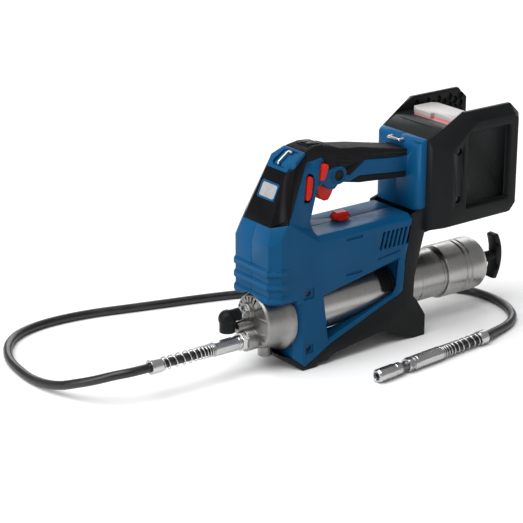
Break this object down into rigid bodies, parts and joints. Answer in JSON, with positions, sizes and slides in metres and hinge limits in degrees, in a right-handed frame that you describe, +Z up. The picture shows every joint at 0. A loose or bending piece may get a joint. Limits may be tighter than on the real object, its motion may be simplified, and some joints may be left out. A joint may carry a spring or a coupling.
{
  "type": "cordless grease gun",
  "caption": "Cordless grease gun with a steel grease barrel, pump head, flexible hose with spring guards and a slide-in battery pack.",
  "frame": {"origin": "centre of the footprint of the gun without its hose, on the surface that it stands on", "axes": "+X along the barrel from the pump head to the pull handle, +Y to the right side, +Z up"},
  "size_m": [0.587, 0.3674, 0.2596],
  "materials": {
    "blue_shell": "satin moulded plastic",
    "black_shell": "fine textured plastic",
    "gloss_panel": "smooth panel",
    "soft_grip": "soft moulded grip",
    "red_plastic": "satin moulded plastic",
    "cast_head": "machined casting",
    "steel_tube": "satin ground tube",
    "bright_steel": "turned steel",
    "spring_wire": "spring wire",
    "dark_steel": "blackened steel",
    "copper": "enamelled wire",
    "brass": "contact strip",
    "board": "circuit board",
    "hose_rubber": "braided hose cover",
    "clear_lens": "clear lens",
    "pack_plastic": "pale case",
    "cell_wrap": "cell sleeve"
  },
  "bodies": {
    "root": {"housing_left": "blue_shell", "housing_right": "blue_shell", "front_panel": "gloss_panel", "lamp_bezel": "blue_shell", "lamp_lens": "clear_lens", "lamp_board": "board", "top_cap": "blue_shell", "front_strap_bar": "bright_steel", "grip_cover": "soft_grip", "keypad": "gloss_panel", "rear_strap_bar": "bright_steel", "trigger_switch": "black_shell", "control_board": "board", "motor_can": "dark_steel", "motor_stator": "copper", "motor_bearings": "bright_steel", "gearbox_case": "cast_head", "ring_gear": "bright_steel", "output_bearing": "bright_steel", "pump_head": "cast_head", "bleeder_valve": "bright_steel", "outlet_nut": "bright_steel", "barrel_tube": "steel_tube", "barrel_band": "soft_grip", "barrel_end": "steel_tube", "follower_spring": "spring_wire", "lower_frame": "black_shell", "rear_bay": "black_shell", "bay_terminals": "brass", "bumper_left": "black_shell", "bumper_right": "black_shell", "housing_screws": "dark_steel", "near_ferrule": "bright_steel", "near_guard": "spring_wire", "near_collar": "bright_steel", "hose": "hose_rubber", "far_guard": "spring_wire", "far_fitting": "bright_steel", "coupler": "bright_steel"},
    "rotor": {"motor_rotor": "bright_steel", "cooling_fan": "black_shell"},
    "carrier": {"planet_carrier": "bright_steel"},
    "planet_1": {"planet_gear_1": "bright_steel"},
    "planet_2": {"planet_gear_2": "bright_steel"},
    "planet_3": {"planet_gear_3": "bright_steel"},
    "plunger": {"plunger": "bright_steel"},
    "check_ball": {"check_ball": "bright_steel"},
    "bleeder_cap": {"bleeder_cap": "black_shell"},
    "trigger": {"trigger": "red_plastic"},
    "lock_off": {"lock_off_bolt": "red_plastic"},
    "side_slider": {"side_slider": "red_plastic"},
    "lock_button": {"lock_button": "black_shell"},
    "mode_knob": {"mode_knob": "red_plastic"},
    "rod": {"follower": "bright_steel", "follower_seal": "soft_grip", "follower_rod": "bright_steel", "pull_handle": "black_shell"},
    "battery": {"battery_case": "pack_plastic", "battery_cells": "cell_wrap"},
    "battery_button": {"battery_button": "red_plastic"}
  },
  "joints": [
    {"name": "rotor_spin", "type": "hinge", "parent": "root", "child": "rotor", "pos_m": [-0.065, 0, 0.1205], "axis": [1, 0, 0], "continuous": true},
    {"name": "carrier_spin", "type": "hinge", "parent": "root", "child": "carrier", "pos_m": [-0.131, 0, 0.1205], "axis": [1, 0, 0], "continuous": true},
    {"name": "planet_1_spin", "type": "hinge", "parent": "carrier", "child": "planet_1", "pos_m": [-0.1125, 0.0135, 0.1205], "axis": [1, 0, 0], "continuous": true},
    {"name": "planet_2_spin", "type": "hinge", "parent": "carrier", "child": "planet_2", "pos_m": [-0.1125, -0.00675, 0.13219], "axis": [1, 0, 0], "continuous": true},
    {"name": "planet_3_spin", "type": "hinge", "parent": "carrier", "child": "planet_3", "pos_m": [-0.1125, -0.00675, 0.10881], "axis": [1, 0, 0], "continuous": true},
    {"name": "plunger_stroke", "type": "slide", "parent": "root", "child": "plunger", "axis": [0, 0, 1], "range_m": [-0.005, 0.005]},
    {"name": "check_ball_lift", "type": "slide", "parent": "root", "child": "check_ball", "axis": [-1, 0, 0], "range_m": [0, 0.002]},
    {"name": "bleeder_swivel", "type": "hinge", "parent": "root", "child": "bleeder_cap", "pos_m": [-0.185, 0.008, 0.066], "axis": [1, 0, 0], "range_deg": [0, 90]},
    {"name": "trigger_pull", "type": "hinge", "parent": "root", "child": "trigger", "pos_m": [-0.08, 0, 0.204], "axis": [0, -1, 0], "range_deg": [0, 6], "stiffness_Nm_per_rad": 0.4, "springref_deg": -5.73},
    {"name": "lock_off_slide", "type": "slide", "parent": "root", "child": "lock_off", "axis": [0, 1, 0], "range_m": [-0.0025, 0.0025]},
    {"name": "side_slider_slide", "type": "slide", "parent": "root", "child": "side_slider", "axis": [0.351, 0, 0.9364], "range_m": [-0.002, 0.002]},
    {"name": "lock_button_press", "type": "slide", "parent": "root", "child": "lock_button", "axis": [0, 1, 0], "range_m": [0, 0.0025], "stiffness_N_per_m": 300, "springref_m": -0.002},
    {"name": "mode_knob_turn", "type": "hinge", "parent": "root", "child": "mode_knob", "pos_m": [-0.044, 0, 0.152], "axis": [0, 0, 1], "range_deg": [-45, 45]},
    {"name": "rod_pull", "type": "slide", "parent": "root", "child": "rod", "axis": [1, 0, 0], "range_m": [0, 0.2], "deforming": ["follower_spring"]},
    {"name": "battery_slide", "type": "slide", "parent": "root", "child": "battery", "axis": [0, 0, 1], "range_m": [0, 0.12]},
    {"name": "battery_button_press", "type": "slide", "parent": "battery", "child": "battery_button", "axis": [-1, 0, 0], "range_m": [0, 0.0025], "stiffness_N_per_m": 500, "springref_m": -0.002}
  ],
  "couplings": [
    {"joint": "carrier_spin", "follows": "rotor_spin", "ratio": 0.2},
    {"joint": "planet_1_spin", "follows": "rotor_spin", "ratio": -0.53333},
    {"joint": "planet_2_spin", "follows": "rotor_spin", "ratio": -0.53333},
    {"joint": "planet_3_spin", "follows": "rotor_spin", "ratio": -0.53333}
  ]
}
